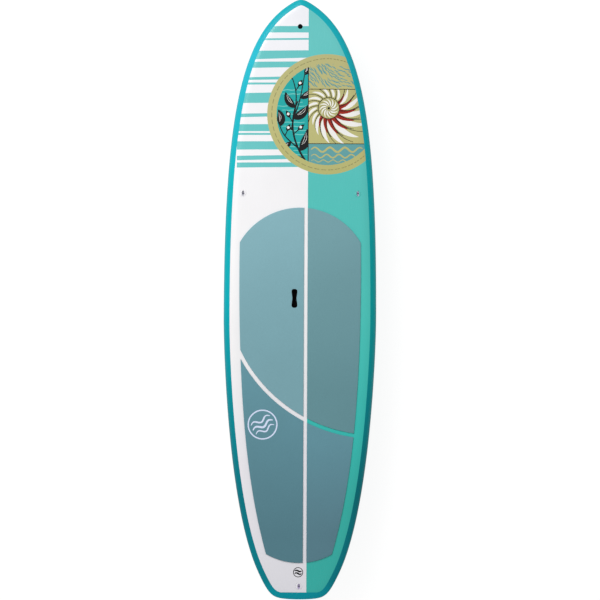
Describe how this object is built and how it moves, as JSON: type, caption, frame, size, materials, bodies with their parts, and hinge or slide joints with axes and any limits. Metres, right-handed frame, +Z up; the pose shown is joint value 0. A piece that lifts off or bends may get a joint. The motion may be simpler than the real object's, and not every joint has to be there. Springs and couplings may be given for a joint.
{
  "type": "stand up paddleboard",
  "caption": "Rigid stand up paddleboard with foam deck pads, a recessed carry handle, a vent, cord plugs and a slide-in centre fin.",
  "frame": {"origin": "middle of the flat stretch of the bottom, on the board's middle line", "axes": "+Y towards the nose, +Z up off the deck, +X to the right of a paddler who faces the nose"},
  "size_m": [0.8158, 3.2, 0.3598],
  "materials": {
    "teal_gelcoat": "gloss",
    "deck_gelcoat": "gloss",
    "core_foam": "matte",
    "dense_foam": "matte",
    "stringer_wood": "matte",
    "pad_foam": "matte",
    "black_plastic": "satin",
    "white_plastic": "satin",
    "seal_rubber": "matte",
    "vent_fabric": "matte",
    "steel": "satin",
    "brass": "satin"
  },
  "bodies": {
    "board": {"bottom_shell": "teal_gelcoat", "deck_shell": "deck_gelcoat", "core_left": "core_foam", "core_right": "core_foam", "stringer": "stringer_wood", "handle_block": "dense_foam", "fin_box_block": "dense_foam", "pad_front_left": "pad_foam", "pad_front_right": "pad_foam", "pad_rear_left": "pad_foam", "pad_rear_right": "pad_foam", "handle_well": "black_plastic", "vent_housing": "black_plastic", "fin_box": "black_plastic", "tie_down_left_cup": "white_plastic", "tie_down_left_bar": "steel", "tie_down_right_cup": "white_plastic", "tie_down_right_bar": "steel", "leash_plug_cup": "white_plastic", "leash_plug_bar": "steel"},
    "fin": {"fin": "black_plastic", "fin_pin": "brass"},
    "fin_screw": {"fin_screw": "steel"},
    "fin_plate": {"fin_plate": "steel"},
    "vent_seal": {"vent_o_ring": "seal_rubber"},
    "vent_plug": {"vent_plug": "black_plastic", "vent_membrane": "vent_fabric"}
  },
  "joints": [
    {"name": "fin_slide", "type": "slide", "parent": "board", "child": "fin", "axis": [0, 0.9971, -0.0762], "range_m": [-0.039, 0.043]},
    {"name": "fin_screw_turn", "type": "hinge", "parent": "fin", "child": "fin_screw", "pos_m": [0, -1.2032, 0.03466], "axis": [0, -0.0762, -0.9971], "range_deg": [0, 720]},
    {"name": "fin_plate_lift", "type": "slide", "parent": "fin", "child": "fin_plate", "axis": [0, 0.0762, 0.9971], "range_m": [0, 0.00159]},
    {"name": "vent_lift", "type": "slide", "parent": "board", "child": "vent_seal", "axis": [-0.0028, -0.1262, 0.992], "range_m": [0, 0.01125]},
    {"name": "vent_turn", "type": "hinge", "parent": "vent_seal", "child": "vent_plug", "pos_m": [-0.005, 1.4555, 0.17025], "axis": [-0.0028, -0.1262, 0.992], "range_deg": [0, 2700]}
  ],
  "couplings": [
    {"joint": "fin_screw_turn", "follows": "fin_plate_lift", "rad_per_m": 7915.8},
    {"joint": "vent_turn", "follows": "vent_lift", "rad_per_m": 4188.8}
  ]
}
